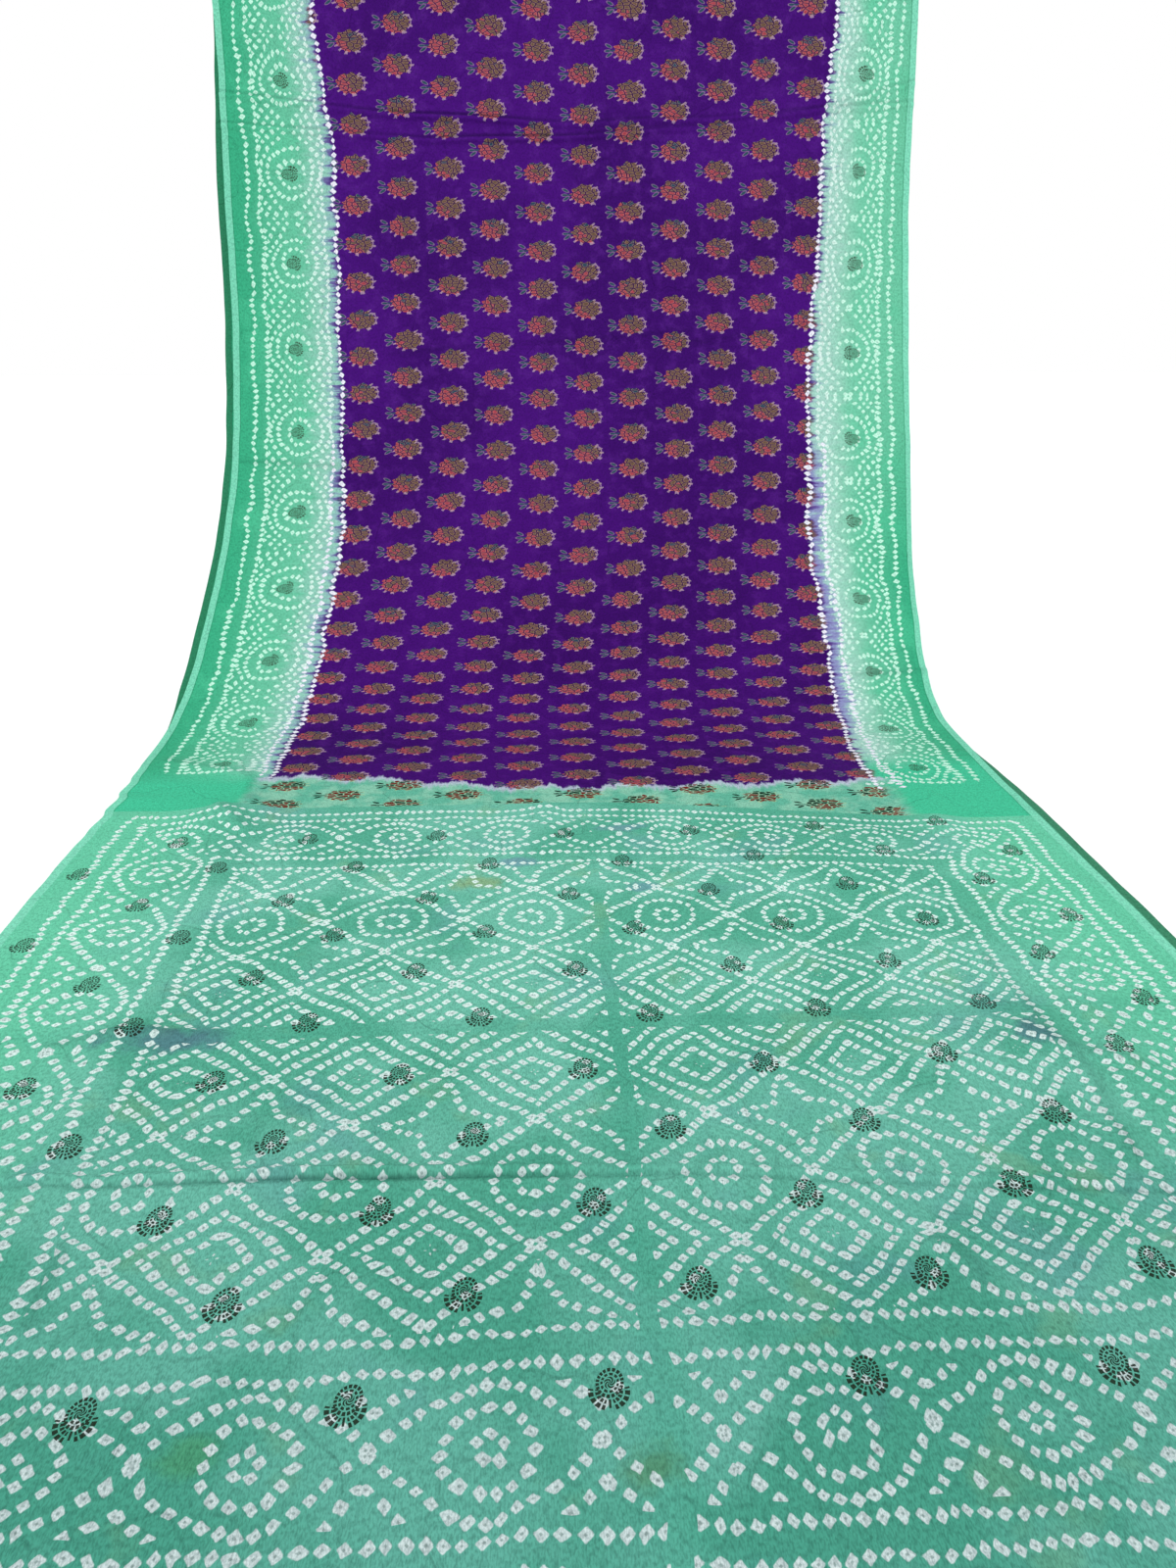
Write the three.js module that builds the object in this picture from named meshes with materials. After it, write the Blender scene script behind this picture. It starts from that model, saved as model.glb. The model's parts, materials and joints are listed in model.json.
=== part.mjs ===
// A tie-dyed and block-printed sari, doubled end to end. It hangs from its middle fold,
// curves down to the floor and runs out over it to its decorated end.
// Frame: +X across the cloth, +Y from the decorated end towards the hanging fold, +Z up.
// The origin is the middle of the footprint, on the floor. Units are millimetres.

import * as THREE from 'three';

// Driving dimensions of the cloth
const CLOTH_WIDTH = 1100;
const CLOTH_THICKNESS = 1.2;
const SELVEDGE_WIDTH = 13;
const UPPER_LENGTH = 2460; // from the top fold to the decorated end
const UNDER_LENGTH = 2430; // from the top fold to the plain end underneath
const LAYER_PITCH = 3.2; // between the middles of the two layers

// Driving dimensions of the drape
const HANG_LENGTH = 1289; // along the cloth, from the top fold to where it meets the floor
const SAG_RADIUS = 307.5; // radius of the curve where the cloth meets the floor
const BELLY_DEPTH = 24; // how far the hang bows out of an even sag
const BELLY_START = 250; // along the cloth, above the floor line
const SWAY = 44; // how far the top stands to the right of the part on the floor
const SWAY_RISE = 650;

// The under layer lies a little to the left of the upper one where they hang,
// and a little to its right on the floor.
const UNDER_SHIFT_HANG = -13;
const UNDER_SHIFT_FLOOR = 16;
const SHIFT_EASE = 300;

// Folds that run across the cloth. `line` gives the crest's distance down from the top fold
// at each place across; `height` is the crest's height and `half` half its width at the foot.
const CROSS_FOLDS = [
  {
    line: [{ across: -550, down: 165 }, { across: -307, down: 191 }, { across: -10, down: 205 },
      { across: 208, down: 197 }, { across: 399, down: 180 }, { across: 550, down: 140 }],
    height: 3,
    half: 12,
  },
  {
    line: [{ across: -550, down: 209 }, { across: -216, down: 230 }, { across: -10, down: 224 },
      { across: 208, down: 209 }, { across: 399, down: 181 }, { across: 550, down: 170 }],
    height: 3,
    half: 12,
  },
  {
    line: [{ across: -550, down: 2072 }, { across: -396, down: 2091 }, { across: -209, down: 2092 },
      { across: 67, down: 2102 }, { across: 273, down: 2127 }, { across: 550, down: 2152 }],
    height: 5,
    half: 26,
  },
];

// Folds that run along the cloth, where its borders meet the middle. Each starts and ends
// at the stated distances down from the top fold.
const LENGTH_FOLDS = [
  { across: -385, from: 1420, to: 2460, height: 4, half: 38 },
  { across: 425, from: 1360, to: 2460, height: 4, half: 38 },
  { across: -150, from: 0, to: 1180, height: 4, half: 110 },
  { across: 130, from: 0, to: 1240, height: 5, half: 130 },
];
const LENGTH_FOLD_FADE = 160;

// Soft lifts where the cloth doesn't lie quite flat on the floor.
const LIFTS = [
  { across: -400, down: 1505, height: 9, halfAcross: 80, halfDown: 70 },
  { across: 300, down: 1660, height: 5, halfAcross: 190, halfDown: 130 },
  { across: -180, down: 1860, height: 4, halfAcross: 220, halfDown: 120 },
  { across: 330, down: 1985, height: 5, halfAcross: 150, halfDown: 90 },
  { across: 60, down: 2290, height: 4, halfAcross: 260, halfDown: 110 },
];

// Stretches of the long edges that roll back on the hang, away from the seen face.
const EDGE_ROLLS = [
  { side: 1, from: 520, to: 1160, depth: 8, width: 17 },
  { side: -1, from: 250, to: 640, depth: -5, width: 60 },
];

// Spacing of the mesh along the cloth, in stretches counted down from the top fold
const UPPER_STEPS = [
  { from: 2460, to: 2190, step: 54 },
  { from: 2190, to: 2040, step: 15 },
  { from: 2040, to: 1600, step: 55 },
  { from: 1600, to: 1289, step: 31 },
  { from: 1289, to: 260, step: 36 },
  { from: 260, to: 116, step: 12 },
  { from: 116, to: 8, step: 36 },
];
const UNDER_STEPS = [
  { from: 8, to: 98, step: 45 },
  { from: 98, to: 1289, step: 45 },
  { from: 1289, to: 2430, step: 163 },
];
const FOLD_TURN_STEPS = 6;

// Evenly divided places from one end of a stretch up to, not including, its other end
function divided(from, to, step) {
  const count = Math.max(1, Math.round(Math.abs(to - from) / step));
  return Array.from({ length: count }, (_, i) => from + ((to - from) * i) / count);
}

function smoothstep(t) {
  return THREE.MathUtils.smoothstep(t, 0, 1);
}

// A round-topped bump, 1 at 0 and 0 from -1 and 1 outwards
function bump(t) {
  return Math.abs(t) < 1 ? Math.cos((t * Math.PI) / 2) ** 2 : 0;
}

// The side curve of the drape: y, z and the tilt of the cloth at a distance down from the top
function drapePoint(down) {
  const above = HANG_LENGTH - down;
  if (above <= 0) {
    return { y: above, z: 0, tilt: 0 };
  }
  const tilt = Math.atan2(above, SAG_RADIUS);
  const up = (above - BELLY_START) / (HANG_LENGTH - BELLY_START);
  const belly = up > 0 ? BELLY_DEPTH * Math.sin(Math.PI * up) * smoothstep(up / 0.15) : 0;
  return {
    y: SAG_RADIUS * Math.asinh(above / SAG_RADIUS) + belly * Math.sin(tilt),
    z: Math.hypot(SAG_RADIUS, above) - SAG_RADIUS - belly * Math.cos(tilt),
    tilt,
  };
}

function swayAt(down) {
  return SWAY * smoothstep((HANG_LENGTH - down) / SWAY_RISE);
}

function underShiftAt(down) {
  const onFloor = smoothstep((down - HANG_LENGTH + SHIFT_EASE) / (2 * SHIFT_EASE));
  const shift = THREE.MathUtils.lerp(UNDER_SHIFT_HANG, UNDER_SHIFT_FLOOR, onFloor);
  return shift * smoothstep(down / SHIFT_EASE);
}

// Where a cross fold's crest lies at a place across the cloth
function crestDown(line, across) {
  const next = line.findIndex((knot) => knot.across >= across);
  if (next <= 0) {
    return line[next === 0 ? 0 : line.length - 1].down;
  }
  const a = line[next - 1];
  const b = line[next];
  return THREE.MathUtils.lerp(a.down, b.down, (across - a.across) / (b.across - a.across));
}

// The rise of the folds that run along the cloth
function lengthwiseRise(across, down) {
  let height = 0;
  for (const fold of LENGTH_FOLDS) {
    const startFade = fold.from === 0 ? 1 : smoothstep((down - fold.from) / LENGTH_FOLD_FADE);
    const endFade = fold.to === UPPER_LENGTH ? 1 : smoothstep((fold.to - down) / LENGTH_FOLD_FADE);
    height += fold.height * bump((across - fold.across) / fold.half) * startFade * endFade;
  }
  return height;
}

// How far the seen face stands up from the plain drape, never below it
function relief(across, down) {
  let height = lengthwiseRise(across, down);
  for (const fold of CROSS_FOLDS) {
    height += fold.height * bump((down - crestDown(fold.line, across)) / fold.half);
  }
  for (const lift of LIFTS) {
    height += lift.height * bump((across - lift.across) / lift.halfAcross)
      * bump((down - lift.down) / lift.halfDown);
  }
  return height;
}

// How far a long edge of the upper layer rolls back at a place
function edgeRoll(across, down) {
  let depth = 0;
  for (const roll of EDGE_ROLLS) {
    const inward = CLOTH_WIDTH / 2 - roll.side * across;
    const along = (down - roll.from) / (roll.to - roll.from);
    if (inward < roll.width && along > 0 && along < 1) {
      depth += roll.depth * (1 - inward / roll.width) ** 2 * Math.sin(Math.PI * along);
    }
  }
  return depth;
}

// The layers share the lengthwise folds where they hang; on the floor the under layer is flat.
function upperPoint(across, down) {
  const drape = drapePoint(down);
  const lift = LAYER_PITCH + relief(across, down) - edgeRoll(across, down);
  return new THREE.Vector3(
    across + swayAt(down),
    drape.y - lift * Math.sin(drape.tilt),
    drape.z + lift * Math.cos(drape.tilt),
  );
}

function underPoint(across, down) {
  const drape = drapePoint(down);
  const hanging = smoothstep((HANG_LENGTH - down) / SHIFT_EASE);
  const lift = lengthwiseRise(across, down) * hanging;
  return new THREE.Vector3(
    across + swayAt(down) + underShiftAt(down),
    drape.y - lift * Math.sin(drape.tilt),
    drape.z + lift * Math.cos(drape.tilt),
  );
}

// The tight half turn that joins the layers at the top
function turnPoint(across, turn) {
  const down = UPPER_STEPS.at(-1).to;
  const front = upperPoint(across, down);
  const back = underPoint(across, down);
  const middle = front.clone().lerp(back, 0.5);
  const outward = front.clone().sub(back).multiplyScalar(0.5);
  const upward = new THREE.Vector3(0, Math.cos(drapePoint(down).tilt), Math.sin(drapePoint(down).tilt));
  return middle
    .addScaledVector(outward, Math.cos(turn))
    .addScaledVector(upward, Math.sin(turn) * outward.length());
}

// Places across the cloth: each selvedge, each border up to its seam fold, and the middle
function placesAcross() {
  const edge = CLOTH_WIDTH / 2;
  const inner = edge - SELVEDGE_WIDTH;
  const [leftSeam, rightSeam] = LENGTH_FOLDS.map((fold) => fold.across);
  return [
    -edge,
    ...divided(-inner, leftSeam, 42),
    ...divided(leftSeam, rightSeam, 62),
    ...divided(rightSeam, inner, 42),
    inner,
    edge,
  ];
}

// Rows of points along the middle of the cloth's thickness, from the decorated end,
// up over the top fold and down to the plain end underneath
function clothRows() {
  const places = placesAcross();
  const rows = [];
  for (const { from, to, step } of UPPER_STEPS) {
    for (const down of divided(from, to, step)) {
      rows.push(places.map((across) => upperPoint(across, down)));
    }
  }
  for (let i = 0; i < FOLD_TURN_STEPS; i += 1) {
    const turn = (Math.PI * i) / FOLD_TURN_STEPS;
    rows.push(places.map((across) => turnPoint(across, turn)));
  }
  for (const { from, to, step } of UNDER_STEPS) {
    for (const down of divided(from, to, step)) {
      rows.push(places.map((across) => underPoint(across, down)));
    }
  }
  rows.push(places.map((across) => underPoint(across, UNDER_LENGTH)));
  return rows;
}

// The unit normal of the grid at a point, from the points beside it
function gridNormal(rows, i, j) {
  const last = rows.length - 1;
  const lastPlace = rows[i].length - 1;
  const along = rows[Math.min(i + 1, last)][j].clone().sub(rows[Math.max(i - 1, 0)][j]);
  const across = rows[i][Math.min(j + 1, lastPlace)].clone().sub(rows[i][Math.max(j - 1, 0)]);
  return across.cross(along).normalize();
}

// One closed solid: the rows pushed out half a thickness to each side, and walled round the rim
function thickened(rows, thickness) {
  const rowCount = rows.length;
  const placeCount = rows[0].length;
  const sideCount = rowCount * placeCount;
  const positions = new Float32Array(sideCount * 2 * 3);
  const at = (i, j, side) => side * sideCount + i * placeCount + j;
  for (let i = 0; i < rowCount; i += 1) {
    for (let j = 0; j < placeCount; j += 1) {
      const normal = gridNormal(rows, i, j);
      for (const side of [0, 1]) {
        const offset = side === 0 ? thickness / 2 : -thickness / 2;
        const point = rows[i][j].clone().addScaledVector(normal, offset);
        point.toArray(positions, at(i, j, side) * 3);
      }
    }
  }
  const index = [];
  const quad = (a, b, c, d) => index.push(a, b, c, a, c, d);
  for (let i = 0; i + 1 < rowCount; i += 1) {
    for (let j = 0; j + 1 < placeCount; j += 1) {
      quad(at(i, j, 0), at(i, j + 1, 0), at(i + 1, j + 1, 0), at(i + 1, j, 0));
      quad(at(i, j, 1), at(i + 1, j, 1), at(i + 1, j + 1, 1), at(i, j + 1, 1));
    }
    const right = placeCount - 1;
    quad(at(i, 0, 0), at(i + 1, 0, 0), at(i + 1, 0, 1), at(i, 0, 1));
    quad(at(i, right, 0), at(i, right, 1), at(i + 1, right, 1), at(i + 1, right, 0));
  }
  for (let j = 0; j + 1 < placeCount; j += 1) {
    const end = rowCount - 1;
    quad(at(0, j, 0), at(0, j, 1), at(0, j + 1, 1), at(0, j + 1, 0));
    quad(at(end, j, 0), at(end, j + 1, 0), at(end, j + 1, 1), at(end, j, 1));
  }
  const geometry = new THREE.BufferGeometry();
  geometry.setAttribute('position', new THREE.BufferAttribute(positions, 3));
  geometry.setIndex(index);
  return geometry;
}

// Moves a shape so that the middle of its footprint is the origin and it stands on the floor
function standOnOrigin(geometry) {
  geometry.computeBoundingBox();
  const middle = geometry.boundingBox.getCenter(new THREE.Vector3());
  geometry.translate(-middle.x, -middle.y, -geometry.boundingBox.min.z);
}

function sariCloth() {
  const geometry = thickened(clothRows(), CLOTH_THICKNESS);
  standOnOrigin(geometry);
  geometry.computeVertexNormals();
  const dyedCloth = new THREE.MeshStandardMaterial({ color: 0x45b08c, roughness: 0.85, metalness: 0 });
  const mesh = new THREE.Mesh(geometry, dyedCloth);
  mesh.name = 'sari_cloth';
  return mesh;
}

const sari = new THREE.Group();
sari.add(sariCloth());

export default sari;
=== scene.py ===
import json
import math

import bmesh
import bpy
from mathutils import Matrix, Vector, noise

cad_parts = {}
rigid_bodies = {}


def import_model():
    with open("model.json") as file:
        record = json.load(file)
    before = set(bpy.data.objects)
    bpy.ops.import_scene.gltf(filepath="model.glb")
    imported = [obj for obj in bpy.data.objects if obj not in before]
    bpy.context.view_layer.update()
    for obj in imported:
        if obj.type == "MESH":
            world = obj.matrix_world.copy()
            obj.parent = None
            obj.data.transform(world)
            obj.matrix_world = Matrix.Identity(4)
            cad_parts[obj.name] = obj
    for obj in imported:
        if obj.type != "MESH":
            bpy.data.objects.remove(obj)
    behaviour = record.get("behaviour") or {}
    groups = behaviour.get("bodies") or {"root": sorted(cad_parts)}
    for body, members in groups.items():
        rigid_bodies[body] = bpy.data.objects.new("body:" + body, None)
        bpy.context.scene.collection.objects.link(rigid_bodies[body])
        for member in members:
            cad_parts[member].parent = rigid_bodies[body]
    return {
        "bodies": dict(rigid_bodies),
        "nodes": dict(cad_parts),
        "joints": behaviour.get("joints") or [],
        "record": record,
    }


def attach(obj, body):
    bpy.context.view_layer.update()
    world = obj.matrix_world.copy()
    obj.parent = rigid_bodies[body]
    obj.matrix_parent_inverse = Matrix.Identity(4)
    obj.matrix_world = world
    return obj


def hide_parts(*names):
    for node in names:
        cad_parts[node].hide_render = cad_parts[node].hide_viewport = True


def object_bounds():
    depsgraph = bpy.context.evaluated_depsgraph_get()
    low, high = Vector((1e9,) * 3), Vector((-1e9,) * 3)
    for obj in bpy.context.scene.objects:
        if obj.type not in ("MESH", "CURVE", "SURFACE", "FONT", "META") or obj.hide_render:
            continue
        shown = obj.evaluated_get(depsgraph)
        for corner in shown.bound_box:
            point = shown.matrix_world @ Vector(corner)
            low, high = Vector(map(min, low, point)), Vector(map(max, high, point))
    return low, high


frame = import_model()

CAD_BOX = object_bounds()

# The cloth, in metres: u runs across it from the middle, v along it from the top fold.
HALF_WIDTH = 0.55
HANG_LENGTH = 1.289
UPPER_LENGTH = 2.460
UNDER_LENGTH = 2.430
LAYER_PITCH = 0.0032
CLOTH_THICKNESS = 0.0007
FOLD_REACH = 0.008  # from the top of the fold to where each layer leaves it
FLOOR_GAP = 0.0006  # from the floor to the middle of the under layer

# The drape
SAG_RADIUS = 0.3075
BELLY_DEPTH = 0.024
BELLY_START = 0.250
SWAY = 0.044
SWAY_RISE = 0.650
UNDER_SHIFT_HANG = -0.013
UNDER_SHIFT_FLOOR = 0.016
SHIFT_EASE = 0.300

ORIGIN = Vector((CAD_BOX[0].x + HALF_WIDTH, CAD_BOX[0].y + UPPER_LENGTH - HANG_LENGTH, FLOOR_GAP))

# Pressed folds right across the upper layer: points of the crest, height, half width,
# side that the trough lies on, where along the crest the fold is sharpest
CROSS_FOLDS = [
    ([(-0.550, 0.165), (-0.307, 0.191), (-0.010, 0.205), (0.208, 0.197), (0.399, 0.180), (0.550, 0.140)],
     0.003, 0.012, -1, -0.20),
    ([(-0.550, 0.209), (-0.216, 0.230), (-0.010, 0.224), (0.208, 0.209), (0.399, 0.181), (0.550, 0.170)],
     0.003, 0.012, -1, -0.10),
    ([(-0.550, 2.072), (-0.396, 2.091), (-0.209, 2.092), (0.067, 2.102), (0.273, 2.127), (0.550, 2.152)],
     0.0034, 0.026, 1, -0.17),
]
# A pressed fold is a low swell with a ridge on one side of its line and a trough on the other.
SWELL_SHARE = 0.45
RIDGE_SHARE = 0.80
RIDGE_AT = -0.0030
RIDGE_HALF = 0.0055
TROUGH_SHARE = 0.40
TROUGH_AT = 0.0036
TROUGH_HALF = 0.0042
SHARP_HALF = 0.24  # half the length of the stretch where it is sharper
CREASE_LINE_HALF = 0.007

# Soft folds along the cloth: across, from, to, height, half width
LENGTH_FOLDS = [
    (-0.385, 1.420, 2.460, 0.004, 0.038),
    (0.425, 1.360, 2.460, 0.004, 0.038),
    (-0.150, 0.000, 1.180, 0.004, 0.110),
    (0.130, 0.000, 1.240, 0.005, 0.130),
]
LENGTH_FOLD_FADE = 0.160

# Low swells of the upper layer: across, down, height, half across, half down
LIFTS = [
    (-0.400, 1.505, 0.009, 0.080, 0.070),
    (0.300, 1.660, 0.005, 0.190, 0.130),
    (-0.180, 1.860, 0.004, 0.220, 0.120),
    (0.330, 1.985, 0.005, 0.150, 0.090),
    (0.060, 2.290, 0.004, 0.260, 0.110),
]

# Long edges that roll back: side, from, to, depth, width
EDGE_ROLLS = [
    (1, 0.520, 1.160, 0.008, 0.017),
    (-1, 0.250, 0.640, -0.005, 0.060),
]

# Small creases of the upper layer: points, height, half width
CREASES = [
    ([(-0.302, 0.554), (0.186, 0.520)], 0.0012, 0.009),
    ([(0.132, 0.547), (0.402, 0.506)], 0.0012, 0.009),
    ([(-0.536, 0.727), (-0.362, 0.738)], 0.0014, 0.008),
    ([(-0.202, 0.902), (-0.005, 0.924)], 0.0012, 0.009),
    ([(0.213, 2.172), (0.226, 2.192), (0.228, 2.205)], 0.0030, 0.008),
    ([(-0.439, 1.940), (-0.374, 1.918), (-0.300, 1.930)], 0.0026, 0.010),
    ([(0.356, 1.954), (0.375, 1.984), (0.427, 2.009)], 0.0026, 0.010),
    ([(0.369, 1.845), (0.384, 2.019), (0.376, 2.107)], 0.0015, 0.012),
    ([(-0.348, 2.146), (-0.343, 2.211)], 0.0012, 0.012),
    ([(-0.412, 1.491), (-0.371, 1.546)], 0.0045, 0.018),
    ([(0.430, 1.130), (0.548, 1.122)], 0.0030, 0.010),
    ([(-0.520, 1.330), (-0.400, 1.380), (-0.385, 1.470)], 0.0030, 0.022),
]


def smoothstep(t):
    t = min(max(t, 0.0), 1.0)
    return t * t * (3 - 2 * t)


def bump(t):
    """1 at 0, falling softly to 0 at -1 and 1."""
    return math.cos(t * math.pi / 2) ** 2 if abs(t) < 1 else 0.0


def drape(down):
    """Place, height and slope of the floor-to-top curve at a length down the cloth."""
    above = HANG_LENGTH - down
    if above <= 0:
        return above, 0.0, 0.0
    tilt = math.atan2(above, SAG_RADIUS)
    up = (above - BELLY_START) / (HANG_LENGTH - BELLY_START)
    belly = BELLY_DEPTH * math.sin(math.pi * up) * smoothstep(up / 0.15) if up > 0 else 0.0
    y = SAG_RADIUS * math.asinh(above / SAG_RADIUS) + belly * math.sin(tilt)
    z = math.hypot(SAG_RADIUS, above) - SAG_RADIUS - belly * math.cos(tilt)
    return y, z, tilt


def sway(down):
    """How far the hang stands to the right of the part on the floor."""
    return SWAY * smoothstep((HANG_LENGTH - down) / SWAY_RISE)


def under_shift(down):
    """How far the under layer lies sideways from the upper one."""
    on_floor = smoothstep((down - HANG_LENGTH + SHIFT_EASE) / (2 * SHIFT_EASE))
    shift = UNDER_SHIFT_HANG + (UNDER_SHIFT_FLOOR - UNDER_SHIFT_HANG) * on_floor
    return shift * smoothstep(down / SHIFT_EASE)


def crest_down(line, across):
    """How far down the crest of a fold across the cloth lies, at a place across."""
    for (u0, v0), (u1, v1) in zip(line, line[1:]):
        if across <= u1:
            return v0 + (v1 - v0) * (across - u0) / (u1 - u0)
    return line[-1][1]


def lengthwise_rise(across, down):
    height = 0.0
    for at, start, end, rise, half in LENGTH_FOLDS:
        start_fade = 1.0 if start == 0 else smoothstep((down - start) / LENGTH_FOLD_FADE)
        end_fade = 1.0 if end == UPPER_LENGTH else smoothstep((end - down) / LENGTH_FOLD_FADE)
        height += rise * bump((across - at) / half) * start_fade * end_fade
    return height


def line_distance(across, down, line):
    best = 1.0
    for (u0, v0), (u1, v1) in zip(line, line[1:]):
        along_u, along_v = u1 - u0, v1 - v0
        t = ((across - u0) * along_u + (down - v0) * along_v) / (along_u ** 2 + along_v ** 2)
        t = min(max(t, 0.0), 1.0)
        best = min(best, math.hypot(across - u0 - t * along_u, down - v0 - t * along_v))
    return best


def near_line(down, line, reach):
    return min(v for u, v in line) - reach < down < max(v for u, v in line) + reach


def relief(across, down):
    """How far the upper layer stands out from the plain drape."""
    height = lengthwise_rise(across, down)
    for line, rise, half, side, sharpest in CROSS_FOLDS:
        below = (down - crest_down(line, across)) * side
        rise *= 0.60 + 0.75 * bump((across - sharpest) / SHARP_HALF)
        height += SWELL_SHARE * rise * bump(below / half)
        height += RIDGE_SHARE * rise * bump((below - RIDGE_AT) / RIDGE_HALF)
        height -= TROUGH_SHARE * rise * bump((below - TROUGH_AT) / TROUGH_HALF)
    for at_across, at_down, rise, half_across, half_down in LIFTS:
        height += rise * bump((across - at_across) / half_across) * bump((down - at_down) / half_down)
    for line, rise, half in CREASES:
        if near_line(down, line, half):
            height += rise * bump(line_distance(across, down, line) / half)
    return height


def crease_shade(across, down):
    """How much shade is painted into the pressed line of each fold and along each small crease, from 0 to 1.
    """
    crease_shading = 0.0
    for line, rise, half, side, sharpest in CROSS_FOLDS:
        below = (down - crest_down(line, across)) * side
        sharp = bump((across - sharpest) / SHARP_HALF)
        crease_shading += bump((below - TROUGH_AT) / TROUGH_HALF) * (0.40 + 0.60 * sharp)
    for line, rise, half in CREASES:
        if near_line(down, line, CREASE_LINE_HALF):
            crease_shading += 0.35 * bump(line_distance(across, down, line) / CREASE_LINE_HALF)
    return min(crease_shading, 1.0)


def edge_roll(across, down):
    """How far a long edge of the upper layer rolls back at a place."""
    depth = 0.0
    for side, start, end, roll, width in EDGE_ROLLS:
        inward = HALF_WIDTH - side * across
        along = (down - start) / (end - start)
        if inward < width and 0 < along < 1:
            depth += roll * (1 - inward / width) ** 2 * math.sin(math.pi * along)
    return depth


def ripple(across, down):
    """The small unevenness of limp crepe, always upwards."""
    broad = noise.noise(Vector((across * 9, down * 7, 1.5)))
    fine = noise.noise(Vector((across * 38, down * 24, 7.0)))
    return 0.0010 * (1 + broad) + 0.00035 * (1 + fine)


def selvedge_wave(across, down, seed):
    """How far the long edges wander sideways."""
    edge = smoothstep((abs(across) - 0.40) / 0.15)
    wave = noise.noise(Vector((down * 5, seed, math.copysign(3, across))))
    wave += 0.45 * noise.noise(Vector((down * 19, seed, math.copysign(9, across))))
    return 0.0030 * wave * edge


def tucked_edge(across, down):
    """The scalloped stretch of the left edge where the cloth meets the floor."""
    edge = smoothstep((-across - 0.44) / 0.11)
    stretch = bump((down - 1.465) / 0.160)
    scallops = 0.6 + 0.4 * math.cos((down - 1.352) * math.tau / 0.052)
    return 0.0085 * edge * stretch * scallops


def upper_point(across, down):
    y, z, tilt = drape(down)
    lift = LAYER_PITCH + relief(across, down) + ripple(across, down) - edge_roll(across, down)
    tuck = tucked_edge(across, down)
    x = across + sway(down) + selvedge_wave(across, down, 2.0) + tuck
    lift += 0.45 * tuck
    return Vector((x, y - lift * math.sin(tilt), z + lift * math.cos(tilt))) + ORIGIN


def under_point(across, down):
    y, z, tilt = drape(down)
    lift = lengthwise_rise(across, down) * smoothstep((HANG_LENGTH - down) / SHIFT_EASE)
    x = across + sway(down) + under_shift(down) + selvedge_wave(across, down, 8.0)
    return Vector((x, y - lift * math.sin(tilt), z + lift * math.cos(tilt))) + ORIGIN


def fold_point(across, turn):
    """The tight fold at the top, from the upper layer at turn 0 to the under layer at turn pi."""
    front = upper_point(across, FOLD_REACH)
    back = under_point(across, FOLD_REACH)
    tilt = drape(FOLD_REACH)[2]
    outward = (front - back) / 2
    upward = Vector((0, math.cos(tilt), math.sin(tilt)))
    return (front + back) / 2 + outward * math.cos(turn) + upward * math.sin(turn) * outward.length


# Where the decorated end starts: its first line of dots isn't square to the cloth.
END_START = 1.488
FOLD_ROWS = 0.040  # length of grid that the turn of the top fold takes


def slant(across):
    """How much further down the decorated end starts towards the right."""
    return 0.068 * smoothstep((across + 0.02) / 0.52)


# Rows of the grids: from, to, number of rows; close together at the pressed folds
HANG_ROWS = [(-0.032, 0.125, 32), (0.125, 0.245, 54), (0.245, 1.300, 170), (1.300, END_START, 38)]
END_ROWS = [(END_START, 2.045, 96), (2.045, 2.185, 56), (2.185, UPPER_LENGTH, 46)]
UNDER_HANG_ROWS = [(FOLD_REACH, HANG_LENGTH, 107)]
UNDER_FLOOR_ROWS = [(HANG_LENGTH, UNDER_LENGTH, 96)]


def row_step(bands, row):
    """The place along the cloth of a grid's row, counted through its bands."""
    for start, end, count in bands:
        if row <= count:
            return start + (end - start) * row / count
        row -= count
    return bands[-1][1]


def hang_place(across, step):
    """Cloth length and point for a row of the hang's grid."""
    if step < FOLD_REACH:
        turned = (FOLD_REACH - step) / FOLD_ROWS
        return FOLD_REACH - 2 * FOLD_REACH * turned, fold_point(across, math.pi * turned)
    down = step + slant(across) * smoothstep((step - 1.20) / (END_START - 1.20))
    return down, upper_point(across, down)


def end_place(across, step):
    down = step + slant(across) * (1 - smoothstep((step - END_START) / 0.30))
    return down, upper_point(across, down)


def under_place(across, step):
    return -step, under_point(across, step)


def bake_place(across, part, seen, rim):
    """Place on the map that the finish is baked to: nearly all of it for the seen side."""
    x = 0.01 + 0.98 * (across / HALF_WIDTH + 1) / 2
    if seen:
        return x, 0.14 + 0.85 * part
    if rim:
        return x + math.copysign(0.004, across), 0.14 + 0.85 * part + math.copysign(0.004, part - 0.5)
    return x, 0.01 + 0.11 * part


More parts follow.
